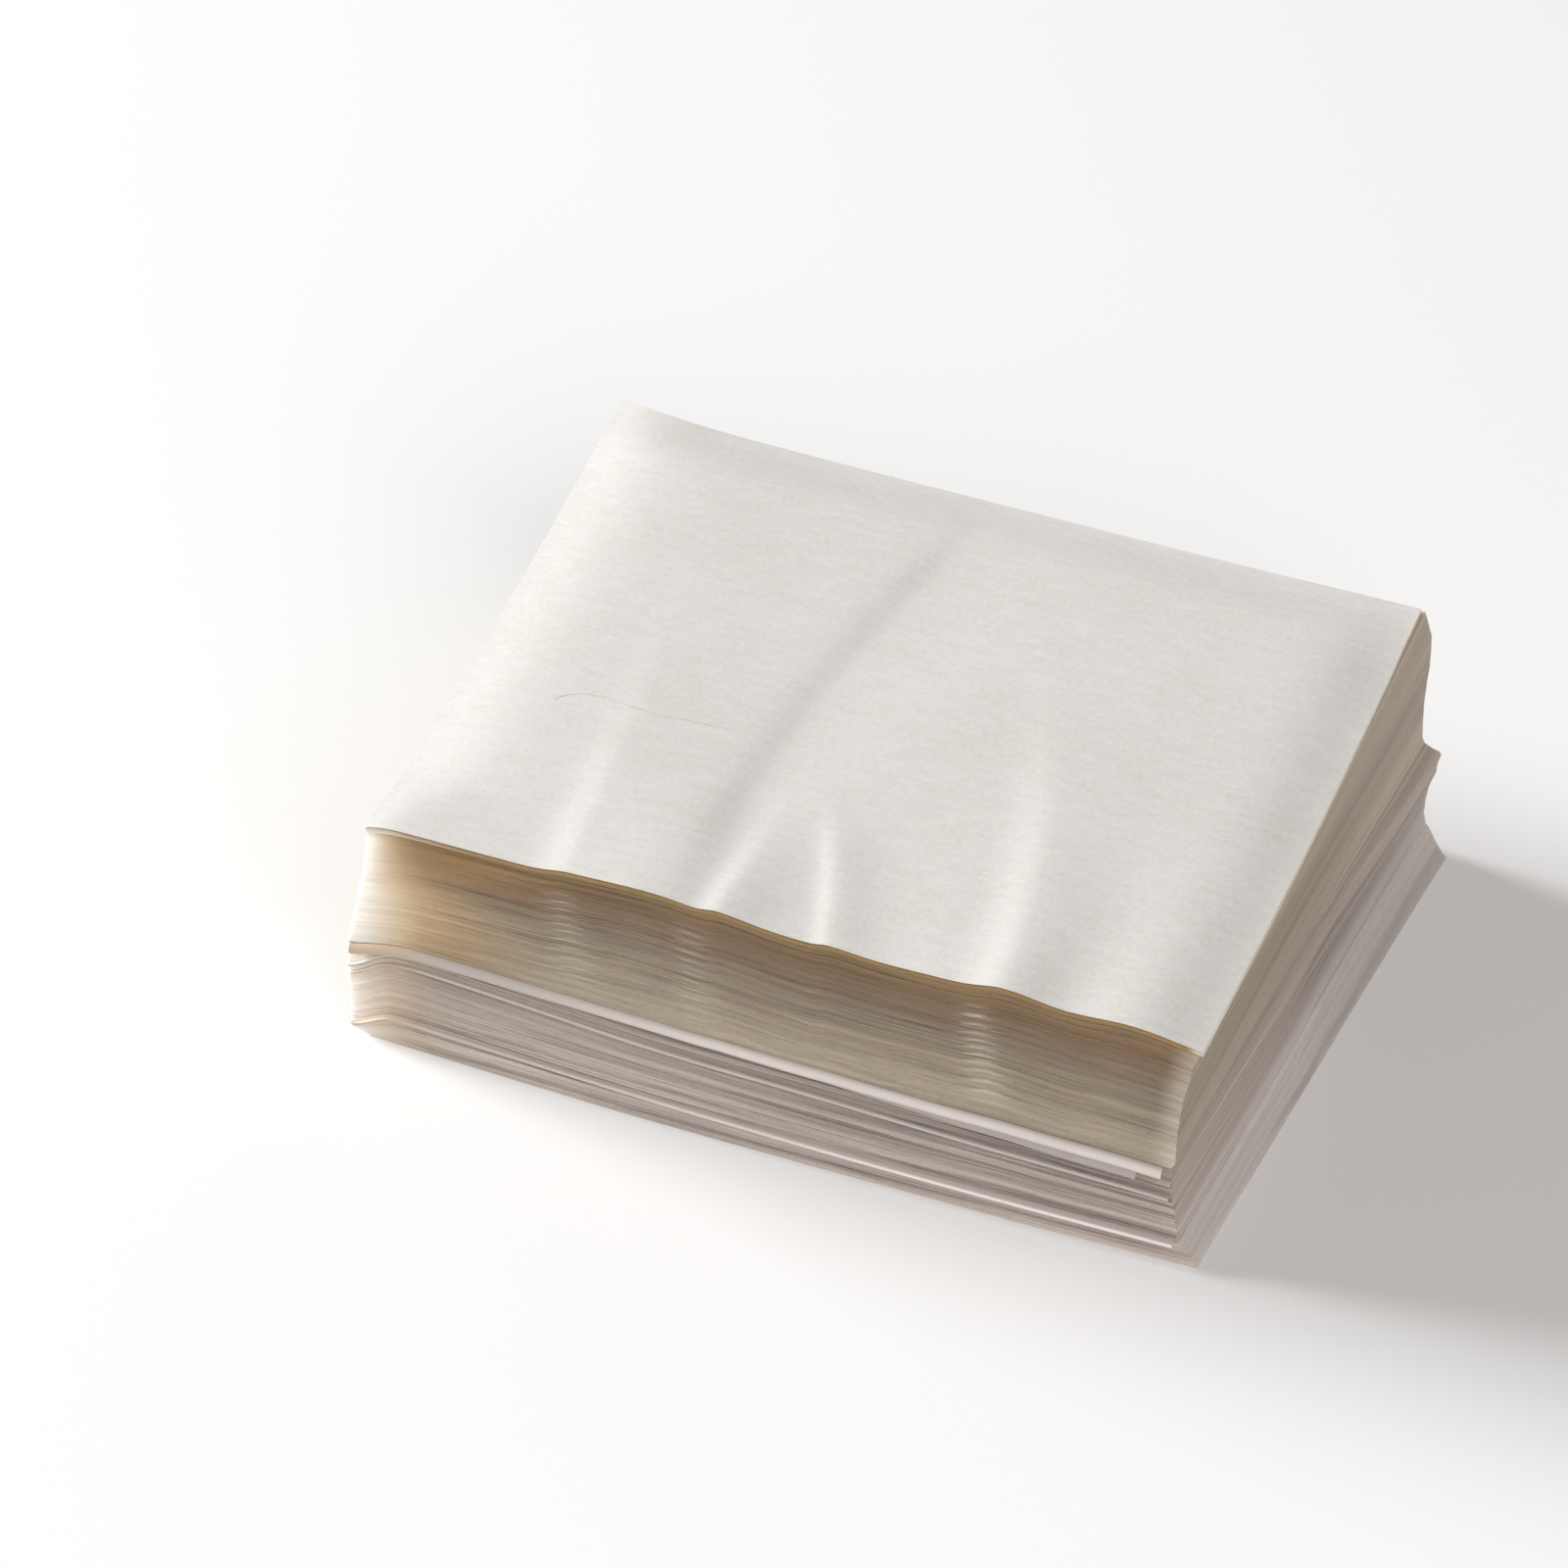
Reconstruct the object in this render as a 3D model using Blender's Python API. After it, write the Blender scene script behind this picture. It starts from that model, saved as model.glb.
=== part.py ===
"""Stack of edible rice paper: several hundred thin starch sheets lying as one loose pile.

Frame: origin at the centre of the pile's bottom, +X along the long side, +Y to the back, +Z up.
The pile is modelled as five solid bodies, from the table up: the flared bottom sheets, the lower
sheaf, the middle sheets that stick out, the upper sheaf and the single rippled top sheet.
"""
import math
import random

import bmesh
import bpy

MM = 0.001                      # lengths below are in millimetres

# sheets
SHEET_LENGTH = 90.0             # one sheet, left to right
SHEET_DEPTH = 70.0              # one sheet, front to back
PILE_HEIGHT = 31.0              # table to top sheet, at the middle of the pile
BACK_RISE = 1.1                 # the back edge is this much higher than the middle, the front lower
TOP_SHEET_THICKNESS = 0.35      # the top sheet stands for the two or three sheets that cling together
BODY_GAP = 0.30                 # clear air between neighbouring bodies
LEDGE_RISE = 0.14               # height of the step between two leaves of a sheaf
EDGE_WANDER = 0.30              # how far a leaf's edge wanders in plan
SEED = 18

# bodies: name, lowest share of the height, highest share, leaves, grid along X, grid along Y
BODIES = (
    ("bottom_sheets", 0.000, 0.084, 2, 20, 12),
    ("lower_sheaf", 0.094, 0.338, 6, 20, 12),
    ("middle_sheets", 0.348, 0.446, 4, 20, 12),
    ("upper_sheaf", 0.456, 0.978, 9, 30, 16),
)
TOP_GRID = (30, 16)

# Where the corners of the sheets lie, as shifts from the corners of the top-most nominal sheet.
# share of height: right shift of front-left, front-right, back-right and back-left corner,
# then the backward shift of the left end and of the right end
LIE = (
    (0.00, -0.6, 0.3, 3.6, 1.5, 0.1, 0.3),
    (0.04, -1.9, -0.4, 2.3, 1.0, 0.1, 0.3),
    (0.08, -2.5, -1.2, 1.2, 0.5, 0.1, 0.2),
    (0.10, -2.7, -1.8, 0.9, 0.2, -0.3, -0.4),
    (0.14, -2.7, -1.9, 0.8, 0.1, 0.2, 0.1),
    (0.25, -2.8, -2.3, 1.1, 0.2, 0.3, 0.1),
    (0.33, -2.9, -2.8, 1.6, 0.4, 0.4, 0.1),
    (0.35, -2.9, -2.8, 1.5, 0.3, 0.0, -0.5),
    (0.38, -2.8, -2.7, 1.0, 0.0, 0.6, 0.2),
    (0.42, -2.8, -2.7, 0.3, -0.4, 0.4, -0.2),
    (0.44, -2.8, -2.7, 0.0, -0.6, -0.1, -1.6),
    (0.46, -2.8, -2.4, -0.3, -0.8, 0.7, 0.0),
    (0.60, -2.0, -2.3, -0.5, -1.1, 0.8, 0.3),
    (0.75, -1.1, -1.9, -0.2, -1.4, 0.9, 0.5),
    (0.88, -0.5, -1.2, -0.3, -1.6, 0.9, 0.7),
    (0.97, -0.2, -0.6, -1.2, -1.7, 0.9, 0.8),
    (1.00, 0.0, 0.0, -1.4, -1.6, 0.0, 0.0),
)

FRONT_BOW = 0.9
SIDE_BOW = 0.35
CORNER_TURN = 1.6

# Ripples of the front edge: crest at the front, drift to the right over the way back,
# height, width of the left flank, width of the right flank, reach towards the back
RIPPLES = (
    (-21.0, -3.5, 0.55, 2.2, 4.0, 16.0),
    (-12.5, 5.0, 0.80, 3.0, 2.6, 18.0),
    (-5.0, 1.5, 0.55, 2.2, 1.7, 13.0),
    (5.5, -9.0, 0.35, 1.5, 2.6, 17.0),
    (24.0, -5.0, 1.15, 3.2, 3.2, 30.0),
    (38.0, -3.0, 0.70, 2.6, 3.4, 15.0),
)
VALLEY_DEPTH = 0.30             # long shallow valley across the top, front to back
VALLEY_WIDTH = 2.6
MARGIN_DROOP = 0.90             # the left margin sags
MARGIN_WIDTH = 10.0
CORNER_DROOP = 0.8
RIPPLE_DEPTH = (0.38, 0.62)     # shares of the height between which the ripples fade in

COLLECTION = "rice_paper_stack"
COLOURS = {
    "bottom_sheets": (0.392, 0.347, 0.305),
    "lower_sheaf": (0.416, 0.361, 0.323),
    "middle_sheets": (0.553, 0.509, 0.461),
    "upper_sheaf": (0.445, 0.371, 0.287),
    "top_sheet": (0.708, 0.686, 0.651),
}
ROUGHNESS = 0.55


def smooth(start, end, value):
    """Rise smoothly from 0 at start to 1 at end."""
    t = min(max((value - start) / (end - start), 0.0), 1.0)
    return t * t * (3.0 - 2.0 * t)


def bump(distance, left, right):
    """Bell shape with its own width on either side."""
    width = left if distance < 0.0 else right
    return math.exp(-0.5 * (distance / width) ** 2)


def lie(share):
    """Corner shifts of the sheets at a share of the height."""
    for low, high in zip(LIE, LIE[1:]):
        if share <= high[0]:
            t = (share - low[0]) / (high[0] - low[0])
            return [a + (b - a) * t for a, b in zip(low[1:], high[1:])]
    return list(LIE[-1][1:])


def plan(u, v, share):
    """Place in plan of the point at (u, v), both from -1 to 1, on the sheet at this share."""
    front_left, front_right, back_right, back_left, back_at_left, back_at_right = lie(share)
    right, back = 0.5 * (1.0 + u), 0.5 * (1.0 + v)
    shift_front = front_left + (front_right - front_left) * right
    shift_back = back_left + (back_right - back_left) * right
    x = 0.5 * SHEET_LENGTH * u + shift_front + (shift_back - shift_front) * back
    y = 0.5 * SHEET_DEPTH * v + back_at_left + (back_at_right - back_at_left) * right
    # the front edge of the lower sheets bows out, the short edges of the upper ones bow in,
    # and the back right corner of the bottom sheets is turned in
    y -= FRONT_BOW * (1.0 - u * u) * (1.0 - back) * (1.0 - smooth(0.0, 0.30, share))
    x -= SIDE_BOW * u * (1.0 - v * v) * share
    y -= CORNER_TURN * smooth(0.5, 1.0, u) * smooth(0.6, 1.0, v) * (1.0 - smooth(0.0, 0.10, share))
    return x, y


def ripple(x, y):
    """Waves of the paper, strongest at the front edge."""
    from_front = y + 0.5 * SHEET_DEPTH
    back = from_front / 30.0
    total = 0.0
    for crest, drift, height, left, right, reach in RIPPLES:
        total += height * bump(x - crest - drift * back, left, right) * math.exp(-(from_front / reach) ** 2)
    valley_x = -10.5 + 0.1 * from_front
    along = smooth(2.0, 14.0, from_front) * (1.0 - smooth(58.0, 68.0, from_front))
    return total - VALLEY_DEPTH * bump(x - valley_x, VALLEY_WIDTH, VALLEY_WIDTH) * along


def sag(x, y, share):
    """Droop of the left and right margins; halfway down, the front left corner droops too."""
    v = 2.0 * y / SHEET_DEPTH
    half = 0.5 * SHEET_LENGTH
    left = MARGIN_DROOP * (1.0 - (0.7 if v < 0.0 else 1.8) * v * v) * share
    left += CORNER_DROOP * 4.0 * share * (1.0 - share) * min(v, 0.0) ** 2
    right = (0.35 - 0.3 * max(v, 0.0)) * share
    return left * (1.0 - smooth(-half, -half + MARGIN_WIDTH, x)) + right * smooth(half - 7.0, half, x)


def height(x, y, share):
    """Height of the sheet at this share of the pile, over the point (x, y)."""
    u, v = 2.0 * x / SHEET_LENGTH, 2.0 * y / SHEET_DEPTH
    full = PILE_HEIGHT + BACK_RISE * v
    hollow = 0.9 * max(v, 0.0) * (1.0 - u * u)
    fade = smooth(RIPPLE_DEPTH[0], RIPPLE_DEPTH[1], share)
    return share * (full - hollow) - sag(x, y, share) + ripple(x, y) * fade


def spread(index, count):
    """Grid position from -1 to 1, closer together near both ends."""
    t = 2.0 * index / count - 1.0
    return t * (1.0 + 0.16 * (1.0 - t * t))


def wander(rng):
    """Slow random drift of one leaf's edge, as a function of the angle round the pile."""
    waves = [(k, rng.uniform(0.4, 1.0) / k ** 0.5, rng.uniform(0.0, 2.0 * math.pi)) for k in range(1, 7)]
    scale = EDGE_WANDER / sum(a for _, a, _ in waves)
    return lambda angle: scale * sum(a * math.sin(k * angle + phase) for k, a, phase in waves)


def grid(bm, across, deep):
    """Flat grid facing up; each vertex keeps its own (u, v) from -1 to 1 as its x and y."""
    bmesh.ops.create_grid(bm, x_segments=across, y_segments=deep, size=1.0)
    for vert in bm.verts:
        i = round((vert.co.x + 1.0) * 0.5 * across)
        j = round((vert.co.y + 1.0) * 0.5 * deep)
        vert.co.x, vert.co.y = spread(i, across), spread(j, deep)
    return list(bm.faces)


def raise_level(bm, faces, first):
    """Pull the faces up into a new level with walls below it; only the first level's faces stay."""
    made = bmesh.ops.extrude_face_region(bm, geom=faces)
    if not first:
        bmesh.ops.delete(bm, geom=faces, context="FACES")
    return [item for item in made["geom"] if isinstance(item, bmesh.types.BMFace)]


def sheaf_mesh(levels, across, deep):
    """Closed body through the levels; each level places a (u, v) point in space."""
    bm = bmesh.new()
    faces = grid(bm, across, deep)
    placed = []
    for number, level in enumerate(levels):
        if number:
            faces = raise_level(bm, faces, first=number == 1)
        placed.append((level, list({v for f in faces for v in f.verts})))
    for level, verts in placed:
        for vert in (v for v in verts if v.is_valid):
            vert.co = [value * MM for value in level(vert.co.x, vert.co.y)]
    bmesh.ops.recalc_face_normals(bm, faces=bm.faces)
    return bm


def leaf_level(share, edge):
    """A level of a sheaf: the sheet at this share, its edge wandering a little."""
    def place(u, v):
        x, y = plan(u, v, share)
        z = height(x, y, share)
        rim = smooth(0.90, 1.0, max(abs(u), abs(v)))
        out = edge(math.atan2(v, u)) * rim
        if abs(u) >= abs(v):
            x += math.copysign(out, u)
        if abs(v) >= abs(u):
            y += math.copysign(out, v)
        return x, y, z
    return place


def sheaf_levels(low, high, leaves, rng):
    """Two levels a leaf: one at its foot and one at its top, with a small step to the next."""
    cuts = [low + (high - low) * k / leaves for k in range(leaves + 1)]
    for k in range(1, leaves):
        cuts[k] += rng.uniform(-0.22, 0.22) * (high - low) / leaves
    step = LEDGE_RISE / PILE_HEIGHT
    levels = []
    for k in range(leaves):
        edge = wander(rng)
        levels.append(leaf_level(cuts[k] + (step if k else 0.0), edge))
        levels.append(leaf_level(cuts[k + 1], edge))
    return levels


def top_levels():
    """Underside and upper face of the top sheet."""
    def place(drop):
        def level(u, v):
            x, y = plan(u, v, 1.0)
            return x, y, height(x, y, 1.0) - drop
        return level
    return [place(TOP_SHEET_THICKNESS), place(0.0)]


def paper(name):
    """Principled material of one body."""
    material = bpy.data.materials.new(name + "_paper")
    material.use_nodes = True
    shader = material.node_tree.nodes["Principled BSDF"]
    shader.inputs["Base Color"].default_value = (*COLOURS[name], 1.0)
    shader.inputs["Roughness"].default_value = ROUGHNESS
    material.diffuse_color = (*COLOURS[name], 1.0)
    return material


def add_body(name, bm, collection):
    """Make the object of one body."""
    mesh = bpy.data.meshes.new(name)
    bm.to_mesh(mesh)
    bm.free()
    mesh.materials.append(paper(name))
    body = bpy.data.objects.new(name, mesh)
    collection.objects.link(body)
    return body


def centre(bodies):
    """Move the meshes so that the pile's box is centred over the origin, its foot at zero."""
    points = [v.co for body in bodies for v in body.data.vertices]
    low = [min(p[k] for p in points) for k in range(3)]
    high = [max(p[k] for p in points) for k in range(3)]
    for body in bodies:
        for v in body.data.vertices:
            v.co.x -= 0.5 * (low[0] + high[0])
            v.co.y -= 0.5 * (low[1] + high[1])
            v.co.z -= low[2]


def build():
    """Clear the scene and build the pile."""
    for item in list(bpy.data.objects):
        bpy.data.objects.remove(item, do_unlink=True)
    collection = bpy.data.collections.new(COLLECTION)
    bpy.context.scene.collection.children.link(collection)
    rng = random.Random(SEED)
    bodies = []
    for name, low, high, leaves, across, deep in BODIES:
        bodies.append(add_body(name, sheaf_mesh(sheaf_levels(low, high, leaves, rng), across, deep), collection))
    bodies.append(add_body("top_sheet", sheaf_mesh(top_levels(), *TOP_GRID), collection))
    centre(bodies)


build()
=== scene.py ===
"""Dressed model of a stack of edible rice paper.

The pile is several hundred thin starch sheets.  Four sheaves carry the relief of their leaves; the
rippled top sheet, the sheets that cling under it, those whose front edges roll over and a hair of
starch are pieces of their own.  Lengths are in millimetres unless a name says otherwise, in the
pile's own frame: +X to the right, +Y to the back, +Z up from the table.  A place across, u, goes
from -1 at the left edge to 1 at the right, and a place along, v, from -1 at the front to 1 behind.
"""

import logging
import math
from dataclasses import dataclass
from enum import Enum
from typing import Any, Sequence

import bmesh
import bpy
import numpy as np
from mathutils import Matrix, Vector


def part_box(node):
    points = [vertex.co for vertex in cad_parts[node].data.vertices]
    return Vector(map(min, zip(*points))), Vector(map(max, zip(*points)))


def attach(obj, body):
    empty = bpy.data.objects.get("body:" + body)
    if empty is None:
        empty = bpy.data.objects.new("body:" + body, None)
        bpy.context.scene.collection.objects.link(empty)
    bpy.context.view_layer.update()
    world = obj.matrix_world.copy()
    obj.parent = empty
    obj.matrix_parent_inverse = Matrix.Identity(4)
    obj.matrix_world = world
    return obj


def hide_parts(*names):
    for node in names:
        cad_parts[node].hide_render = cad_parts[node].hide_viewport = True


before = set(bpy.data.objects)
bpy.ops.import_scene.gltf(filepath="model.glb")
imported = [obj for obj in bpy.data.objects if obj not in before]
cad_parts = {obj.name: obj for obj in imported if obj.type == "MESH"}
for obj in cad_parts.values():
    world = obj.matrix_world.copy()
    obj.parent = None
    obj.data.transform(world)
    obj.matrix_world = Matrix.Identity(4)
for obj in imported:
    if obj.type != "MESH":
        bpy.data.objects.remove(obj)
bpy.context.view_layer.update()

Array = np.ndarray
Pair = tuple[float, float]
Levels = tuple[float, float, float, float]
Stops = Sequence[tuple[float, str]]
Tree = bpy.types.NodeTree
Socket = bpy.types.NodeSocket
Piece = bpy.types.Object
Mesh = bmesh.types.BMesh
Verts = list[bmesh.types.BMVert]

MM = 0.001
BODY = "root"
PILE_MM = 31.0  # height of the pile in its middle
PAPER_IOR = 1.45
CUT_ANGLE = math.radians(40.0)  # a cut edge stays sharp, a ripple doesn't
CROWDING = 0.16  # how much closer together the points of a grid are near its ends
ON_FACE = 0.999  # past this place across or along, a point is on the pile's face
VALUES = ("share", "tone", "from_left", "arc")  # what the finishes read at each point
SMOOTH = {"interpolation_type": "SMOOTHSTEP"}
COLOURS = {"data_type": "RGBA", "out": 2}  # a Mix node has its colours at 6 and 7, and gives one at 2

log = logging.getLogger("rice_paper")


# --- small tools ---


def smooth(start: float, end: float, value: Array) -> Array:
    """Rise smoothly from 0 to 1 as the value goes from start to end."""
    t = np.clip((value - start) / (end - start), 0.0, 1.0)
    return t * t * (3.0 - 2.0 * t)


def fade(start: float, end: float, value: Array) -> Array:
    """Fall smoothly from 1 to 0 as the value goes from start to end."""
    return 1.0 - smooth(start, end, value)


def plateau(levels: Levels, value: Array) -> Array:
    """Rise from 0 to 1 between the first two levels, and fall again between the last two."""
    return smooth(levels[0], levels[1], value) * fade(levels[2], levels[3], value)


def bump(distance: Array, left: float, right: float) -> Array:
    """Bell shape of height 1, with its own width to the left and to the right of its crest."""
    return np.exp(-0.5 * (distance / np.where(distance < 0.0, left, right)) ** 2)


def spread(count: int) -> Array:
    """Grid positions from -1 to 1, closer together near both ends."""
    t = 2.0 * np.arange(count + 1) / count - 1.0
    return t * (1.0 + CROWDING * (1.0 - t * t))


def linear(code: str) -> tuple[float, ...]:
    """Turn an sRGB hex colour to linear light, with an alpha of 1."""
    values = [int(code[i : i + 2], 16) / 255.0 for i in (0, 2, 4)]
    return *(v / 12.92 if v <= 0.04045 else ((v + 0.055) / 1.055) ** 2.4 for v in values), 1.0


def per_mm(size: float) -> float:
    """Scale of a pattern whose real size is given in millimetres."""
    return 1.0 / (size * MM)


def add_node(
    tree: Tree, kind: str, inputs: Any = (), out: int | str = 0, stops: Stops = (), **settings: Any
) -> Socket | None:
    """Add a node with its settings and links.

    Args:
        tree: The node tree.
        kind: The node's type, such as Mix or Bump.
        inputs: Value or source socket for each input, in order, or by name or number.
        out: The output that is wanted.
        stops: Places and colours of a colour ramp, in order, where the node has one.
        **settings: Properties of the node.

    Returns:
        The output's socket, if the node has one.
    """
    node = tree.nodes.new("ShaderNode" + kind)
    for name, value in settings.items():
        setattr(node, name, value)
    for key, value in inputs.items() if isinstance(inputs, dict) else enumerate(inputs):
        if isinstance(value, Socket):
            tree.links.new(value, node.inputs[key])
        else:
            node.inputs[key].default_value = value
    if stops:
        elements = node.color_ramp.elements
        for element, (place, code) in zip(elements, (stops[0], stops[-1])):
            element.position, element.color = place, linear(code)
        for place, code in stops[1:-1]:
            elements.new(place).color = linear(code)
    return node.outputs[out] if node.outputs else None


# --- form of the pile ---


@dataclass(frozen=True)
class Lie:
    """How the sheets at one share of the height have slipped: the corners sideways, the ends back."""

    share: float
    front_left: float
    front_right: float
    back_right: float
    back_left: float
    left_end: float
    right_end: float


@dataclass(frozen=True)
class Ripple:
    """One wave of the paper, strongest at the front edge.

    The crest drifts and bends sideways on its way back, where the right flank may widen.  A wave
    with a higher fade ends more suddenly at its reach.
    """

    crest: float
    drift: float
    bend: float
    height: float
    left: float
    right: float
    widen: float
    reach: float
    fade: float = 2.0


@dataclass(frozen=True)
class Swell:
    """A broad swell of the right face: place, how far it stands out, widths, and a tone that is painted light
    above zero and painted shade below.
    """

    share: float
    y: float
    height: float
    share_width: float
    y_width: float
    tone: float


@dataclass(frozen=True)
class Hang:
    """How the margin hangs at one end of the sheets, and how much of that the corners leave."""

    droop: float
    start: float
    width: float
    at_front: float
    front_mm: Pair
    at_back: float
    back_mm: Pair

    def held(self, front: Array, back: Array) -> Array:
        """Share of the droop that is left at these distances from the front and the back."""
        near_front = self.at_front + (1.0 - self.at_front) * smooth(*self.front_mm, front)
        return near_front * (self.at_back + (1.0 - self.at_back) * smooth(*self.back_mm, back))


@dataclass(frozen=True)
class Corner:
    """How far the leaves of the front left corner rise or fall, at which shares and how far in."""

    most: float
    levels: Levels
    left_mm: Pair
    front_mm: Pair

    def reach(self, share: Array, from_left: Array, front: Array) -> Array:
        """Height at these shares and these distances from the left end and the front."""
        inwards = fade(*self.left_mm, from_left) * fade(*self.front_mm, front)
        return self.most * plateau(self.levels, share) * inwards


@dataclass(frozen=True)
class PileForm:
    """Shape of the whole pile: where a point of any sheet lies."""

    length: float = 90.0
    depth: float = 70.0
    packed_grid: tuple[int, int] = (30, 16)
    back_rise: float = 1.4
    front_bow: float = 0.9
    bow_share: Pair = (0.0, 0.30)
    side_bow: float = 0.35
    corner_turn: float = 1.6
    turn_across: Pair = (0.5, 1.0)
    turn_along: Pair = (0.6, 1.0)
    turn_share: Pair = (0.0, 0.10)
    corner_slip: Pair = (-0.75, 2.0)
    slip_from: Pair = (0.0, 0.3)
    hang_share: Pair = (0.55, 1.0)
    end_reach: float = 5.2
    left_spread: float = 0.45
    right_spread: float = 0.62
    valley_depth: float = 0.31
    valley_width: Pair = (1.9, 4.5)
    valley_bottom: float = -9.8
    valley_bend: float = 0.0026
    valley_widens: float = 0.08
    valley_from: Pair = (12.0, 20.0)
    valley_run: Levels = (3.0, 16.0, 56.0, 68.0)
    left_hang: Hang = Hang(1.62, 2.0, 6.0, 0.30, (0.0, 12.0), 0.62, (0.0, 11.0))
    right_hang: Hang = Hang(0.58, 3.0, 4.0, 0.36, (2.0, 34.0), 0.25, (0.0, 12.0))
    back_droop: float = 1.05
    back_held: float = 0.6
    corner_droop: float = 4.4
    margin_mm: float = 8.0
    corner_lift: Corner = Corner(1.85, (0.0, 0.30, 0.33, 0.52), (2.0, 42.0), (0.0, 40.0))
    corner_fall: Corner = Corner(1.9, (0.0, 0.12, 0.36, 0.46), (0.0, 5.0), (0.0, 12.0))
    ripple_run: float = 30.0
    ripple_fade: Pair = (0.38, 0.62)
    ripples: tuple[Ripple, ...] = (
        Ripple(-22.4, -3.4, 0.0, 0.58, 2.0, 10.0, 0.0, 25.0),
        Ripple(-13.0, -1.0, 0.0, 0.58, 5.0, 3.4, 0.0, 14.0),
        Ripple(-6.3, 0.6, 0.0, 0.64, 1.3, 3.2, 0.0, 13.0),
        Ripple(5.4, -8.5, -3.5, 0.36, 0.9, 2.6, 0.0, 17.0, 6.0),
        Ripple(17.5, -3.0, -3.0, 0.18, 3.0, 4.0, 0.0, 20.0),
        Ripple(24.2, -2.5, -3.2, 1.00, 2.4, 3.4, 4.5, 27.0),
        Ripple(37.5, -0.5, 0.0, 0.75, 4.0, 4.0, 0.0, 20.0),
    )
    swells: tuple[Swell, ...] = (
        Swell(0.385, 31.0, 0.7, 0.018, 12.0, 1.0),
        Swell(0.20, 22.0, -0.6, 0.085, 14.0, -1.2),
        Swell(0.62, 0.0, -0.5, 0.100, 12.0, -0.5),
        Swell(0.26, 7.0, -0.4, 0.110, 6.0, -1.0),
    )
    lies: tuple[Lie, ...] = (
        Lie(0.00, -0.6, 0.3, 3.6, 1.5, 0.1, 0.3),
        Lie(0.04, -1.9, -0.4, 2.3, 1.0, 0.1, 0.3),
        Lie(0.08, -2.5, -1.2, 1.2, 0.5, 0.1, 0.2),
        Lie(0.10, -2.7, -1.8, 0.9, 0.2, -0.1, -0.1),
        Lie(0.14, -2.7, -1.9, 0.8, 0.1, 0.2, 0.1),
        Lie(0.25, -2.8, -2.3, 1.1, 0.2, 0.3, 0.1),
        Lie(0.33, -2.9, -2.8, 1.6, 0.4, 0.4, 0.1),
        Lie(0.35, -2.9, -2.8, 1.5, 0.3, 0.2, -0.1),
        Lie(0.38, -2.8, -2.7, 1.0, 0.0, 0.6, 0.2),
        Lie(0.42, -2.8, -2.7, 0.3, -0.4, 0.6, 0.2),
        Lie(0.44, -2.8, -2.7, 0.0, -0.6, 0.5, -0.1),
        Lie(0.46, -2.8, -2.4, -0.3, -0.8, 0.7, 0.0),
        Lie(0.60, -2.0, -2.3, -0.5, -1.1, 0.8, 0.3),
        Lie(0.75, -1.1, -1.9, -0.2, -1.4, 0.9, 0.5),
        Lie(0.88, -0.5, -1.2, -0.3, -1.6, 0.9, 0.7),
        Lie(0.97, -0.2, -0.6, -1.2, -1.7, 0.9, 0.8),
        Lie(1.00, 0.0, 0.0, -1.4, -1.6, 0.0, 0.0),
    )

    def slip(self, name: str, share: Array) -> Array:
        """Shift of one corner or end at these shares of the height."""
        return np.interp(share, [lie.share for lie in self.lies], [getattr(lie, name) for lie in self.lies])

    def plan(self, u: Array, v: Array, share: Array, hanging: bool = True) -> tuple[Array, Array]:
        """Place in plan of points of a sheet.

        Args:
            u: Place across.
            v: Place along.
            share: Share of the pile's height.
            hanging: Whether the margins are spread where they hang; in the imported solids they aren't.

        Returns:
            The points' x and y.
        """
        right, back = 0.5 * (1.0 + u), 0.5 * (1.0 + v)
        pairs = (("front_left", "front_right"), ("back_left", "back_right"), ("left_end", "right_end"))
        front, rear, ends = (
            self.slip(left, share) * (1.0 - right) + self.slip(other, share) * right for left, other in pairs
        )
        x = 0.5 * self.length * u + front * (1.0 - back) + rear * back
        y = 0.5 * self.depth * v + ends
        y = y - self.front_bow * (1.0 - u * u) * (1.0 - back) * fade(*self.bow_share, share)
        x = x - self.side_bow * u * (1.0 - v * v) * share
        turned = smooth(*self.turn_across, u) * smooth(*self.turn_along, v) * fade(*self.turn_share, share)
        y = y - self.corner_turn * turned
        if not hanging:
            return x, y
        near_left, near_right = (
            smooth(*self.hang_share, share) * (1.0 - np.tanh(0.5 * self.length * away / self.end_reach))
            for away in (1.0 + u, 1.0 - u)
        )
        to_left, to_back = (most * smooth(at, 1.0, v) for most, at in zip(self.corner_slip, self.slip_from))
        x = x + near_left * (to_left - self.left_spread * (1.0 - v * v))
        return x + near_right * self.right_spread * (1.0 - v * v), y + near_left * to_back

    def ripple(self, x: Array, y: Array) -> Array:
        """Waves of the paper over the points.

        Args:
            x: To the right.
            y: To the back.

        Returns:
            How far the paper stands up.
        """
        from_front = y + 0.5 * self.depth
        t = from_front / self.ripple_run
        total = np.zeros(np.broadcast(x, y).shape)
        for wave in self.ripples:
            crest = wave.crest + wave.drift * t + wave.bend * t * t
            across = bump(x - crest, wave.left, wave.right + wave.widen * np.maximum(t, 0.0))
            total = total + wave.height * across * np.exp(-(np.abs(from_front / wave.reach) ** wave.fade))
        # a long shallow valley starts behind the middle ripples and bends to the right
        bends, widens = (np.maximum(from_front - start, 0.0) for start in self.valley_from)
        steep, gentle = self.valley_width[0], self.valley_width[1] + self.valley_widens * widens
        valley = bump(x - self.valley_bottom - self.valley_bend * bends**2, steep, gentle)
        return total - self.valley_depth * valley * plateau(self.valley_run, from_front)

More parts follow.
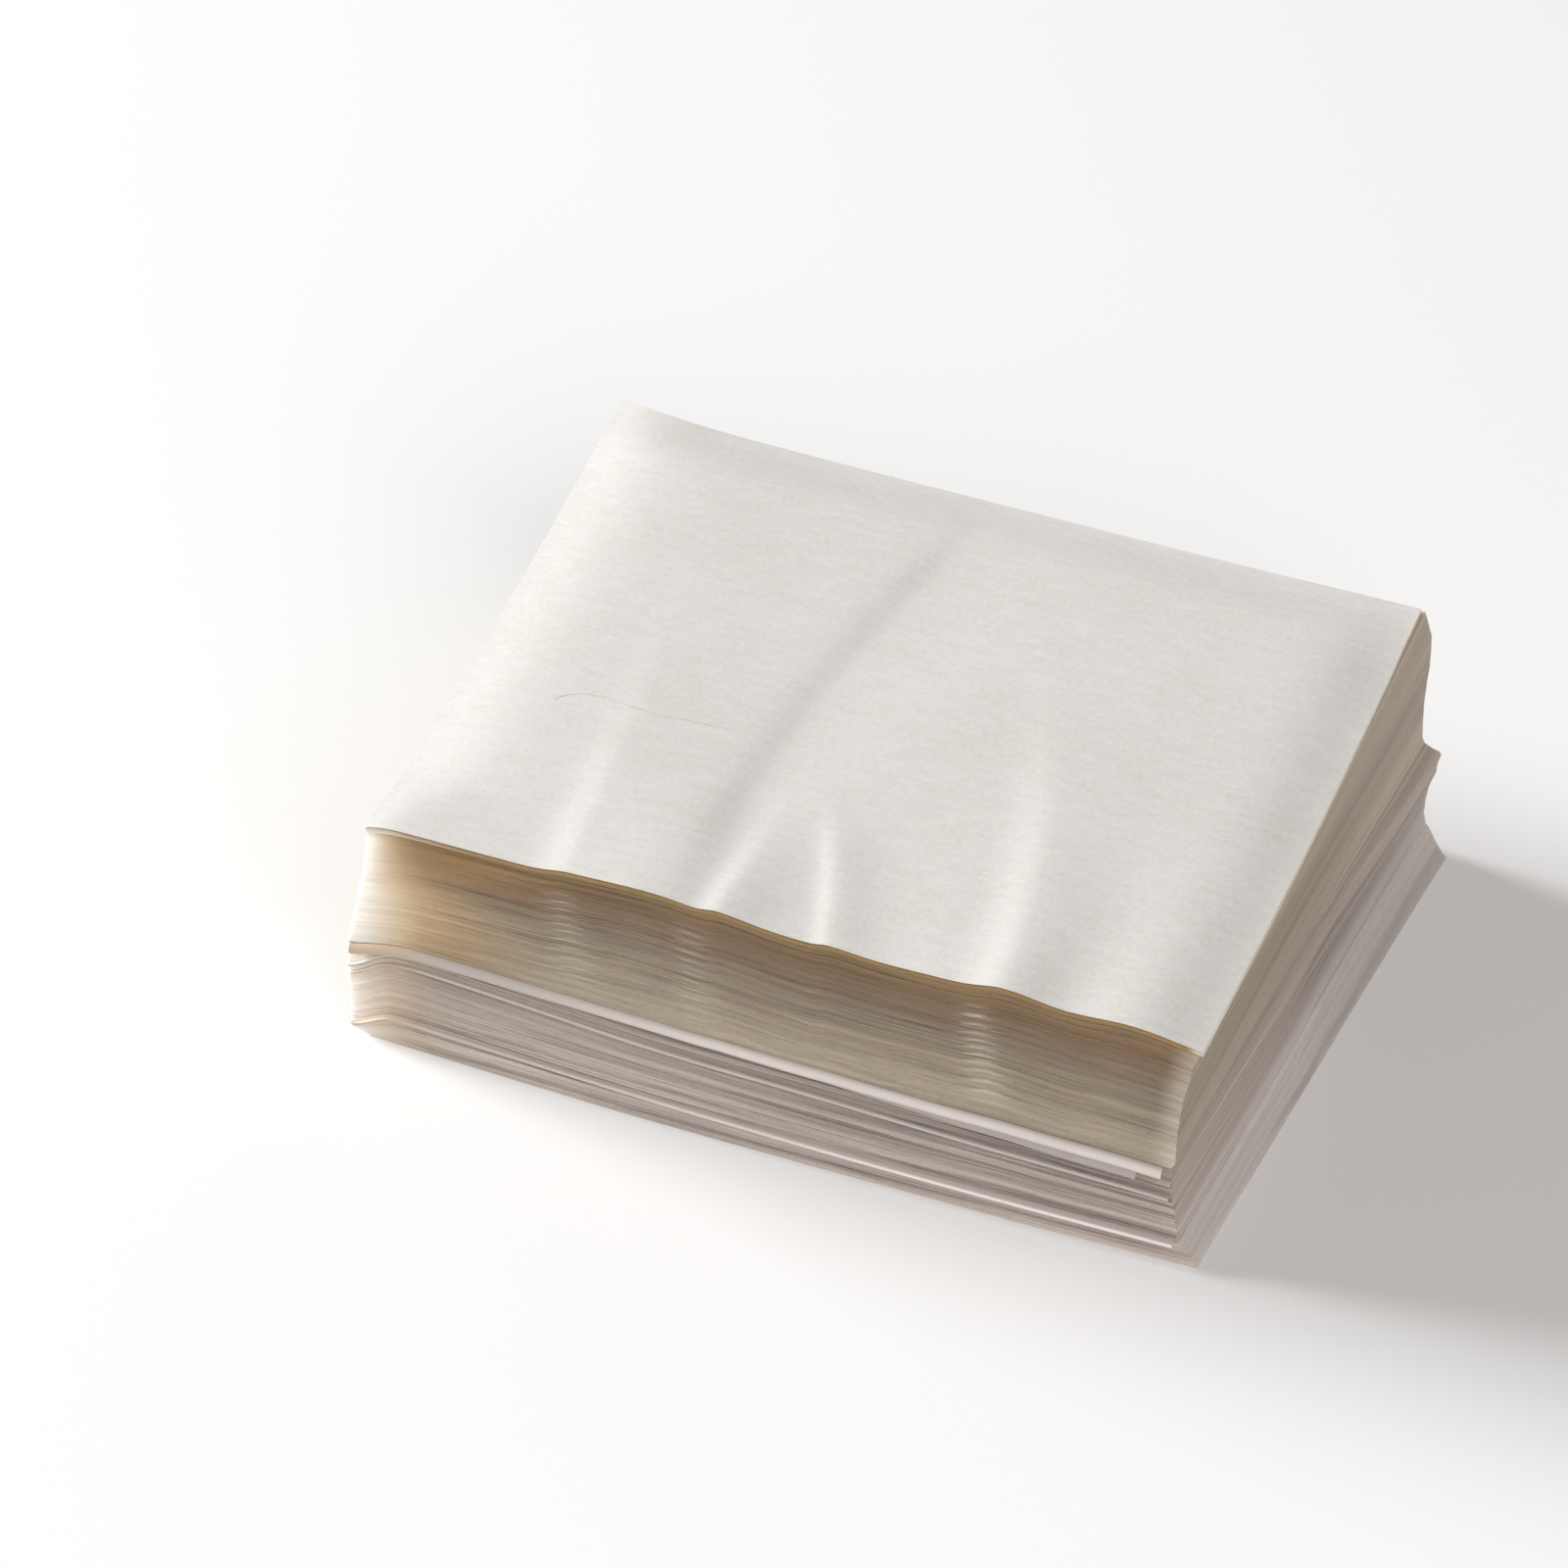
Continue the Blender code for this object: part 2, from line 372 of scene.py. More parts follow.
    def margins(self, x: Array, y: Array, share: Array) -> Array:
        """Droop of the sheets' margins over the points.

        Args:
            x: To the right.
            y: To the back.
            share: Share of the pile's height.

        Returns:
            How far the points hang below the flat sheet.
        """
        v = np.clip(2.0 * y / self.depth, -1.0, 1.0)
        ones = np.ones_like(x)
        from_left = np.maximum(x - self.plan(-ones, v, share)[0], 0.0)
        from_right = np.maximum(self.plan(ones, v, share)[0] - x, 0.0)
        front, back = 0.5 * self.depth * (1.0 + v), 0.5 * self.depth * (1.0 - v)
        # the ripples hold the front corners up, and the back corners hang a little less too
        hang = self.left_hang
        held = hang.held(front, back)
        left = hang.droop * held * (1.0 - np.tanh((from_left - hang.start * held) / (hang.width * held)))
        # deeper down in the pile it is the front left corner that hangs
        near = fade(0.0, self.margin_mm, from_left)
        left = left + self.corner_droop * (1.0 - share) * np.minimum(v, 0.0) ** 2 * near
        hang = self.right_hang
        right = hang.droop * hang.held(front, back) * (1.0 - np.tanh((from_right - hang.start) / hang.width))
        rear = self.back_droop * fade(0.0, self.margin_mm, back)
        rear = rear * (1.0 - self.back_held * (2.0 * x / self.length) ** 4)
        # towards the front left the lower leaves lie higher, and their very ends fall again
        lift, fall = (way.reach(share, from_left, front) for way in (self.corner_lift, self.corner_fall))
        return (left + right + rear) * share - lift + fall

    def swell(self, y: Array, share: Array) -> tuple[Array, Array]:
        """Broad waves of the right face.

        Args:
            y: To the back.
            share: Share of the pile's height.

        Returns:
            How far it stands out, and how much paler its leaves are painted: painted light, and below zero
            painted shade.
        """
        out, tone = np.zeros_like(y), np.zeros_like(y)
        for wave in self.swells:
            here = bump(share - wave.share, wave.share_width, wave.share_width)
            here = here * bump(y - wave.y, wave.y_width, wave.y_width)
            out, tone = out + wave.height * here, tone + wave.tone * here
        return out, tone

    def height(self, x: Array, y: Array, share: Array) -> Array:
        """Height over the points (x, y) of the sheet at this share of the pile."""
        full = PILE_MM + self.back_rise * 2.0 * y / self.depth
        return share * full - self.margins(x, y, share) + self.ripple(x, y) * smooth(*self.ripple_fade, share)

    def from_left(self, u: Array) -> Array:
        """Distance from the left end, for places across from -1 to 1."""
        return 0.5 * self.length * (1.0 + u)

    def cad_offset(self) -> Array:
        """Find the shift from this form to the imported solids, off the top sheet's box.

        Returns:
            The shift to the right, to the back and up.
        """
        low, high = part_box("top_sheet")
        u, v = np.meshgrid(*(spread(count) for count in self.packed_grid))
        x, y = self.plan(u, v, np.ones_like(u), hanging=False)
        middle = np.array([(x.min() + x.max()) / 2.0, (y.min() + y.max()) / 2.0])
        cad = np.array([(low[k] + high[k]) / 2.0 / MM for k in (0, 1)])
        return np.array([*(cad - middle), 0.0])


def rim(across: int, deep: int) -> tuple[Array, Array]:
    """Columns and rows of the grid points round its edge, anticlockwise from the front left corner."""
    column = np.r_[0:across, np.full(deep, across), across:0:-1, np.zeros(deep, int)]
    return column, np.r_[np.zeros(across, int), 0:deep, np.full(across, deep), deep:0:-1]


@dataclass
class LeafRelief:
    """Seeded unevenness of the leaves' edges; a name in _mm is how far apart its random values are."""

    seed: int
    girth: float = 320.0
    fine: float = 0.03
    fine_mm: float = 9.0
    clump: float = 0.06
    clump_mm: float = 26.0
    slow: float = 0.10
    slow_mm: float = 35.0
    slow_rise: float = 2.2
    shallow: float = 0.03
    cleft: float = 0.08
    cleft_mm: float = 14.0
    cleft_varies: float = 0.5
    parting: float = 0.42
    usual_gain: float = 0.8
    slow_gain: Pair = (0.25, 1.0)
    depth_gain: Pair = (0.15, 1.5)
    clump_tone: float = 0.65
    tone_mm: Pair = (40.0, 25.0)

    def wander(self, rows: int, spacing: float, travel: Array, rng: np.random.Generator) -> Array:
        """Smooth noise round the edge, one row of it for each leaf or clump.

        Args:
            rows: Number of rows.
            spacing: Distance between the random values.
            travel: Way round the edge to each point.
            rng: Source of the random values.

        Returns:
            Values from about -1 to 1, rows by points.
        """
        knots = max(int(round(self.girth / spacing)), 4)
        values = rng.uniform(-1.0, 1.0, (rows, knots))
        at = travel / self.girth * knots
        first = np.floor(at).astype(int)
        t = smooth(0.0, 1.0, at - first)
        return values[:, first % knots] * (1.0 - t) + values[:, (first + 1) % knots] * t

    def edges(self, leaves: int, pitch: float, travel: Array, gain: Array) -> tuple[Array, Array, Array]:
        """How far each leaf's edge stands out, how deep the groove above it is, and its tone.

        Args:
            leaves: Number of leaves.
            pitch: Thickness of a leaf with its air.
            travel: Way round the edge to each point.
            gain: How lively the edges are, leaves by points.

        Returns:
            Stand-out, groove depth and tone, all leaves by points.
        """
        rng = np.random.default_rng(self.seed)
        starts = rng.random(leaves) < self.parting
        clump_of = np.cumsum(starts)
        clumps = int(clump_of[-1]) + 1
        single = self.wander(leaves, self.fine_mm, travel, rng)
        bundle = self.wander(clumps, self.clump_mm, travel, rng)[clump_of]
        rows = max(int(leaves * pitch / self.slow_rise), 2)
        drift = self.wander(rows + 1, self.slow_mm, travel, rng)
        level = np.linspace(0.0, rows - 1e-6, leaves)
        low = np.floor(level).astype(int)
        t = (level - low)[:, None]
        drift = drift[low] * (1.0 - t) + drift[low + 1] * t
        out = gain * (self.fine * single + self.clump * bundle)
        out = out + self.slow * np.clip(gain / self.usual_gain, *self.slow_gain) * drift
        last = np.append(starts[1:], True)[:, None]
        uneven = 1.0 + self.cleft_varies * self.wander(leaves, self.cleft_mm, travel, rng)
        depth = np.where(last, self.cleft, self.shallow) * uneven
        clump_tone = self.wander(clumps, self.tone_mm[0], travel, rng)[clump_of]
        leaf_tone = self.wander(leaves, self.tone_mm[1], travel, rng)
        tone = self.clump_tone * clump_tone + (1.0 - self.clump_tone) * leaf_tone
        return out, depth * np.clip(gain, *self.depth_gain), tone


# --- finishes ---


class Surface:
    """A finish, whatever its shader: it makes the material of its name."""

    name: str

    def shader(self, tree: Tree) -> Socket:
        """Build the nodes up to the shader."""
        raise NotImplementedError

    def material(self) -> bpy.types.Material:
        """Make the material.

        Returns:
            The new material.
        """
        material = bpy.data.materials.new(self.name)
        material.use_nodes = True
        tree = material.node_tree
        tree.nodes.clear()
        add_node(tree, "OutputMaterial", (self.shader(tree),))
        return material


@dataclass(frozen=True)
class SheetFace(Surface):
    """Face of starch paper: potato starch cast on a smooth belt, off-white and satin.

    The eye sees a soft sheen, a fine grain of starch, faint belt marks across and a little cloud.
    """

    name: str = "starch_paper_cast_satin"
    colour: str = "E2E1DE"
    shade_colour: str = "D2CEC9"
    roughness: float = 0.48
    grain_mm: float = 0.55
    grain_depth_mm: float = 0.02
    grain_strength: float = 0.4
    belt_mark_mm: Pair = (4.0, 0.8)
    belt_turn: float = 0.05
    belt_weight: float = 0.6
    cloud_mm: float = 12.0
    cloud_weight: float = 0.4
    contrast: Pair = (0.6, 1.4)

    def pattern(self, tree: Tree) -> Socket:
        """Put grain, belt marks and cloud together.

        Args:
            tree: The node tree.

        Returns:
            The sum's socket, from about 0.6 to 1.4.
        """
        place = add_node(tree, "TexCoord", out="Object")
        # the real grain is about 0.2 mm; it is drawn coarser, so that it shows
        fine = {"Vector": place, "Scale": per_mm(self.grain_mm), "Detail": 2.0, "Roughness": 0.7}
        grain = add_node(tree, "TexNoise", fine)
        across, along = (per_mm(size) for size in self.belt_mark_mm)
        turn = {"Vector": place, "Rotation": (0.0, 0.0, self.belt_turn), "Scale": (across, along, along)}
        turned = add_node(tree, "Mapping", turn)
        marks = add_node(tree, "TexNoise", {"Vector": turned, "Scale": 1.0, "Detail": 3.0})
        clouds = add_node(tree, "TexNoise", {"Vector": place, "Scale": per_mm(self.cloud_mm), "Detail": 2.0})
        marked = add_node(tree, "Math", (marks, self.belt_weight, grain), operation="MULTIPLY_ADD")
        return add_node(tree, "Math", (clouds, self.cloud_weight, marked), operation="MULTIPLY_ADD")

    def tint(self, tree: Tree, pattern: Socket) -> Socket:
        """Colour of the face, by the grain, marks and cloud."""
        share = add_node(tree, "MapRange", (pattern, *self.contrast))
        mixed = {0: share, 6: linear(self.colour), 7: linear(self.shade_colour)}
        return add_node(tree, "Mix", mixed, **COLOURS)

    def shader(self, tree: Tree) -> Socket:
        """Build the nodes up to the shader.

        Args:
            tree: The node tree.

        Returns:
            The shader's socket.
        """
        pattern = self.pattern(tree)
        relief = {"Height": pattern, "Strength": self.grain_strength, "Distance": self.grain_depth_mm * MM}
        normal = add_node(tree, "Bump", relief)
        colour = self.tint(tree, pattern)
        inputs = {"Base Color": colour, "Normal": normal, "Roughness": self.roughness, "IOR": PAPER_IOR}
        return add_node(tree, "BsdfPrincipled", inputs)


@dataclass(frozen=True)
class RolledFace(SheetFace):
    """Face of starch paper where it rolls over: a painted highlight on the crest and on tight folds, painted
    shade where it is tucked in, and tan towards the left end.
    """

    name: str = "starch_paper_rolled_edge"
    colour: str = "E6DFDB"
    shade_colour: str = "DAD3CE"
    tucked_colour: str = "A79D96"
    highlight_colour: str = "F8F3EF"
    left_colour: str = "C3AE97"
    left_mm: Pair = (3.0, 11.0)
    bright_tone: Pair = (1.0, 1.5)
    roughness: float = 0.36

    def tint(self, tree: Tree, pattern: Socket) -> Socket:
        """Colour of the face, with painted shade on the tucked parts and a painted highlight on tight folds.

        Args:
            tree: The node tree.
            pattern: Socket of the grain, marks and cloud.

        Returns:
            The colour's socket.
        """
        tone, end = (
            add_node(tree, "Attribute", out="Fac", attribute_name=name) for name in ("tone", "from_left")
        )
        face = super().tint(tree, pattern)
        # painted shade: the tone from the roll's angle mixes in the darker tucked colour
        face = add_node(tree, "Mix", {0: tone, 6: linear(self.tucked_colour), 7: face}, **COLOURS)
        # painted highlight: a tight fold catches more light than a wide one
        tight = add_node(tree, "MapRange", (tone, *self.bright_tone), **SMOOTH)
        face = add_node(tree, "Mix", {0: tight, 6: face, 7: linear(self.highlight_colour)}, **COLOURS)
        inside = add_node(tree, "MapRange", (end, *self.left_mm), **SMOOTH)
        return add_node(tree, "Mix", {0: inside, 6: linear(self.left_colour), 7: face}, **COLOURS)


@dataclass(frozen=True)
class Streak:
    """Lines along the leaves' edges: how thick and long they are, and how strong."""

    thick_mm: float
    long_mm: float
    weight: float


@dataclass(frozen=True)
class Band:
    """A painted band, paler for painted light and darker for painted shade: its share of the height, its
    thickness and how much paler it is painted.

    It fades in from the left over the given distances from the left end.
    """

    share: float
    thick: float
    gain: float
    fade_mm: Pair = (-2.0, -1.0)


@dataclass(frozen=True)
class SheetEdges(Surface):
    """Cut edges of the pressed pile: guillotined starch paper, light caught between the leaves.

    The eye sees fine uneven lines, tan where the pile is deep in shade, creamy where light comes
    through the left end, amber (the brow) close under the top sheet, and a soft glow inside.  The
    cream and the amber are painted light, the darker tan by height is partly painted shade, the
    bands are painted light and shade, a paler strip at the right end is a painted highlight, and
    the soft glow inside is subsurface scattering.
    """

    name: str = "starch_paper_guillotined_edges"
    # the paper's own tan, painted darker going up as painted shade under the top sheet's overhang
    depths: Stops = (
        (0.0, "AA9E8C"), (0.470, "AA9E8C"), (0.62, "998C7A"), (0.74, "877A68"), (0.80, "826F5E"),
        (0.865, "78634E"), (0.905, "80694F"), (0.945, "8B7658"), (1.0, "8B7658"),
    )
    end_tints: Stops = (
        (0.0, "F6F2EB"), (1.5, "F5EFE6"), (3.0, "EDE1CF"), (5.0, "DECAAA"), (8.0, "C6AC85"), (12.0, "B49B79"),
    )
    end_mm: Pair = (8.0, 24.0)
    end_narrows: float = 1.2
    narrow_share: Pair = (0.6, 1.0)
    brow: str = "9A7B52"
    brow_share: Pair = (0.70, 0.90)
    brow_starts_mm: Pair = (0.5, 9.0)
    brow_ends_mm: Pair = (9.0, 26.0)
    brow_most: float = 1.0
    brow_least: float = 0.0
    # painted highlight: the right end of the edges is painted paler where it rounds into the side
    right_end: str = "CFC5B8"
    right_light_mm: Pair = (87.0, 89.9)
    right_light_share: float = 0.6
    arc: str = "D9CEBD"
    roughness: float = 0.55
    glow_mm: float = 3.0
    glow: Pair = (0.45, 0.08)
    glow_radius: tuple[float, float, float] = (1.0, 0.9, 0.75)
    streaks: tuple[Streak, ...] = (
        Streak(0.50, 11.0, 0.55),
        Streak(1.3, 34.0, 0.36),
        Streak(0.27, 6.0, 0.45),
        Streak(0.30, 0.7, 0.30),
    )
    bands: tuple[Band, ...] = (Band(0.627, 0.012, 0.16),)
    band_edge: Pair = (0.6, 1.4)
    leaf_tone: float = 0.12
    calm: float = 0.4
    calm_mm: Pair = (2.0, 13.0)
    wave_mm: float = 1.6
    wave_long_mm: float = 14.0

    def lines(self, tree: Tree, share: Socket, tone: Socket, end: Socket) -> Socket:
        """Lightness of the lines, about 1; they are calmer at the bright left end.

        Args:
            tree: The node tree.
            share: Socket of the share of the height.
            tone: Socket of the leaves' own tone.
            end: Socket of the distance from the left end.

        Returns:
            The lightness socket.
        """
        x, y, _ = add_node(tree, "SeparateXYZ", (add_node(tree, "TexCoord", out="Object"),)).node.outputs
        level = add_node(tree, "Math", (share, PILE_MM * MM), operation="MULTIPLY")
        along = add_node(tree, "CombineXYZ", (x, y, level))
        # the lines wave a little more than the leaves that were modelled one by one
        slow = {"Vector": along, "Scale": per_mm(self.wave_long_mm), "Detail": 1.0}
        wave = add_node(tree, "TexNoise", slow)
        wave = add_node(tree, "Math", (wave, 0.5), operation="SUBTRACT")
        level = add_node(tree, "Math", (wave, self.wave_mm * MM, level), operation="MULTIPLY_ADD")
        along = add_node(tree, "CombineXYZ", (x, y, level))
        total = add_node(tree, "Math", (tone, self.leaf_tone, 1.0), operation="MULTIPLY_ADD")
        for streak in self.streaks:
            scale = (per_mm(streak.long_mm), per_mm(streak.long_mm), per_mm(streak.thick_mm))
            drawn = add_node(tree, "Mapping", {"Vector": along, "Scale": scale})
            noise = add_node(tree, "TexNoise", {"Vector": drawn, "Scale": 1.0, "Detail": 2.0})
            noise = add_node(tree, "Math", (noise, 0.5), operation="SUBTRACT")
            total = add_node(tree, "Math", (noise, streak.weight, total), operation="MULTIPLY_ADD")
        # painted light and shade: pale bands where leaves stand out into the light, dark bands in the shade
        # under what stands out
        for band in self.bands:
            away = add_node(tree, "Math", (level, band.share * PILE_MM * MM), operation="SUBTRACT")
            away = add_node(tree, "Math", (away,), operation="ABSOLUTE")
            edge = (part * 0.5 * band.thick * PILE_MM * MM for part in self.band_edge)
            painted_shading = add_node(tree, "MapRange", (away, *edge, band.gain, 0.0), **SMOOTH)
            shows = add_node(tree, "MapRange", (end, *band.fade_mm), **SMOOTH)
            total = add_node(tree, "Math", (painted_shading, shows, total), operation="MULTIPLY_ADD")
        lively = add_node(tree, "MapRange", (end, *self.calm_mm, self.calm, 1.0), **SMOOTH)
        total = add_node(tree, "Math", (total, 1.0), operation="SUBTRACT")
        return add_node(tree, "Math", (total, lively, 1.0), operation="MULTIPLY_ADD")

    def depth_colour(self, tree: Tree, share: Socket, end: Socket) -> Socket:
        """Colour by its place, without the lines: the paper's own tan, with painted light and shade.

        Args:
            tree: The node tree.
            share: Socket of the share of the height.
            end: Socket of the distance from the left end.

        Returns:
            The colour's socket.
        """
        deep = add_node(tree, "ValToRGB", (share,), stops=self.depths)
        # painted highlight at the right end, where the front rounds into the side
        corner = add_node(tree, "MapRange", (end, *self.right_light_mm, 0.0, self.right_light_share), **SMOOTH)
        deep = add_node(tree, "Mix", {0: corner, 6: deep, 7: linear(self.right_end)}, **COLOURS)
        # light comes through the left end: white, cream, then the pile's own tan; less of it high up
        high = (share, *self.narrow_share, 1.0, 1.0 + self.end_narrows)
        high = add_node(tree, "MapRange", high, **SMOOTH)
        lit = add_node(tree, "Math", (end, high), operation="MULTIPLY")
        span = self.end_mm[1]
        tints = add_node(tree, "Math", (lit, span), operation="DIVIDE")
        tints = add_node(tree, "ValToRGB", (tints,), stops=[(at / span, code) for at, code in self.end_tints])
        inside = add_node(tree, "MapRange", (lit, *self.end_mm), **SMOOTH)
        colour = add_node(tree, "Mix", {0: inside, 6: tints, 7: deep}, **COLOURS)
        # close under the top sheet the light from above has come through the paper
        brow = add_node(tree, "MapRange", (share, *self.brow_share), **SMOOTH)
        for reach in ((*self.brow_ends_mm, self.brow_most, self.brow_least), self.brow_starts_mm):
            part = add_node(tree, "MapRange", (end, *reach), **SMOOTH)
            brow = add_node(tree, "Math", (brow, part), operation="MULTIPLY")
        return add_node(tree, "Mix", {0: brow, 6: colour, 7: linear(self.brow)}, **COLOURS)

    def shader(self, tree: Tree) -> Socket:
        """Build the nodes up to the shader.

        Args:
            tree: The node tree.

        Returns:
            The shader's socket.
        """
        share, tone, end, arc = (
            add_node(tree, "Attribute", out="Fac", attribute_name=name) for name in VALUES
        )
        colour, lines = self.depth_colour(tree, share, end), self.lines(tree, share, tone, end)
        colour = add_node(tree, "HueSaturation", {"Color": colour, "Value": lines})
        # light catches short arcs of the leaves where the pile waves
        colour = add_node(tree, "Mix", {0: arc, 6: colour, 7: linear(self.arc)}, **COLOURS)
        inputs = {
            "Base Color": colour,
            "Roughness": self.roughness,
            "IOR": PAPER_IOR,
            "Subsurface Weight": add_node(tree, "MapRange", (end, *self.end_mm, *self.glow), **SMOOTH),
            "Subsurface Radius": self.glow_radius,
            "Subsurface Scale": self.glow_mm * MM,
        }
        return add_node(tree, "BsdfPrincipled", inputs)


@dataclass(frozen=True)
class FloorPaint(Surface):
    """Matt studio floor: rolled emulsion paint, pale and without a pattern."""

    name: str = "emulsion_paint_rolled"
    colour: str = "F4F5F6"
    roughness: float = 0.9

    def shader(self, tree: Tree) -> Socket:
        """Build the nodes up to the shader."""
        inputs = {"Base Color": linear(self.colour), "Roughness": self.roughness}
        return add_node(tree, "BsdfPrincipled", inputs)


# --- pieces ---


class Finish(Enum):
    """The finishes of the pile, by what they are on."""

    FACE = "face"
    ROLLED = "rolled"
    UPPER = "upper"
    LOWER = "lower"
    SIDE = "side"
    MARGIN = "margin"


@dataclass
class Workshop:
    """What the pieces share: the form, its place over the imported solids, and the finishes."""

    form: PileForm
    offset: Array
    finishes: dict[Finish, bpy.types.Material]

    def lay(self, bm: Mesh, x: Array, y: Array, z: Array, **values: Any) -> Verts:
        """Lay a grid of faces over points of the form.

        Args:
            bm: The mesh.
            x: The points' places to the right, rows by columns.
            y: Their places to the back.
            z: Their heights.
            **values: What the finishes read at each point, by name.

        Returns:
            The grid's vertices, row by row.
        """
        kinds = bm.verts.layers.float
        for name in VALUES:
            if name not in kinds:
                kinds.new(name)
        rows, columns = x.shape
        made = bmesh.ops.create_grid(bm, x_segments=columns - 1, y_segments=rows - 1, size=1.0)["verts"]
        points = (np.stack([x, y, z], axis=-1).reshape(-1, 3) + self.offset) * MM
        named = [(kinds[name], np.broadcast_to(value, x.shape).ravel()) for name, value in values.items()]
        for number, vert in enumerate(made):
            vert.co = points[number]
            for kind, value in named:
                vert[kind] = value[number]
        return made

    def thicken(self, bm: Mesh, made: Verts, thickness: float) -> None:
        """Lift a copy of a sheet, with a wall between.

        Args:
            bm: The mesh.
            made: The sheet's vertices.
            thickness: How far it is lifted.
        """
        faces = list(dict.fromkeys(face for vert in made for face in vert.link_faces))
        top = bmesh.ops.extrude_face_region(bm, geom=faces)["geom"]
        lifted = [item for item in top if isinstance(item, bmesh.types.BMVert)]
        bmesh.ops.translate(bm, verts=lifted, vec=Vector((0.0, 0.0, thickness * MM)))

    def thin_sheet(
        self, bm: Mesh, share: float, across: int, deep: int, thickness: float, slip: Pair
    ) -> None:
        """Add a sheet with the outline of the top one.

        Args:
            bm: The mesh.
            share: Share of the pile's height that it lies at.
            across: Faces across.
            deep: Faces along.
            thickness: How thick it is, below its place.
            slip: How far it has slipped to the right and to the back.
        """
        u, v = np.meshgrid(spread(across), spread(deep))
        x, y = self.form.plan(u, v, np.ones_like(u))
        x, y = x + slip[0], y + slip[1]
        z = self.form.height(x, y, np.full_like(u, share)) - thickness
        made = self.lay(bm, x, y, z, share=share, from_left=self.form.from_left(u))
        self.thicken(bm, made, thickness)

    def keep(
        self, bm: Mesh, name: str, finishes: Sequence[Finish], node: str = "", soft: bool = False
    ) -> None:
        """Make the finished object of a piece and tell the frame about it.

        Args:
            bm: The mesh; it is freed.
            name: The piece's name.
            finishes: Its finishes, by material number.
            node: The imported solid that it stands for, if any.
            soft: Whether its faces run smoothly into each other.
        """
        bmesh.ops.recalc_face_normals(bm, faces=bm.faces)
        mesh = bpy.data.meshes.new(name)
        bm.to_mesh(mesh)
        bm.free()
        for finish in finishes:
            mesh.materials.append(self.finishes[finish])
        if soft:
            mesh.shade_smooth()
            mesh.set_sharp_from_angle(angle=CUT_ANGLE)
        piece = bpy.data.objects.new(name, mesh)
        bpy.context.scene.collection.objects.link(piece)
        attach(piece, BODY)
        if node:
            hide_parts(node)
        log.info("%s: %d faces", name, len(mesh.polygons))


@dataclass(frozen=True)
class ArcColumn:
    """A column of short bright arcs, where the leaves of a wave lean towards the light."""

    top: float
    foot: float
    wide: float
    strength: float
    levels: Levels = (0.44, 0.54, 0.84, 0.92)
    flare: Pair = (1.3, 0.8)
    spacing: float = 1.08
    bow: float = 0.16
    jitter: Pair = (1.4, 23.0)
    least: float = 0.15

    def brightness(self, x: Array, share: Array) -> Array:
        """How bright the arcs are.

        Args:
            x: Along the front edge, from its middle.
            share: Share of the height.

        Returns:
            From 0 to 1.
        """
        ends = self.levels[:: len(self.levels) - 1]
        middle = np.interp(share, ends, [self.foot, self.top])
        wide = self.wide * np.interp(share, ends, self.flare)
        across = bump(x - middle, wide, wide)
        level = share * PILE_MM + self.bow * ((x - middle) / wide) ** 2
        # the arcs are unevenly spaced, and no two columns are alike
        shift = self.jitter[0] * np.sin(self.jitter[1] * share + self.top)
        rows = np.sin(2.0 * np.pi * level / self.spacing + shift)
        bright = self.least + (1.0 - self.least) * np.clip(rows, 0.0, 1.0) ** 2
        return self.strength * across * plateau(self.levels, share) * bright


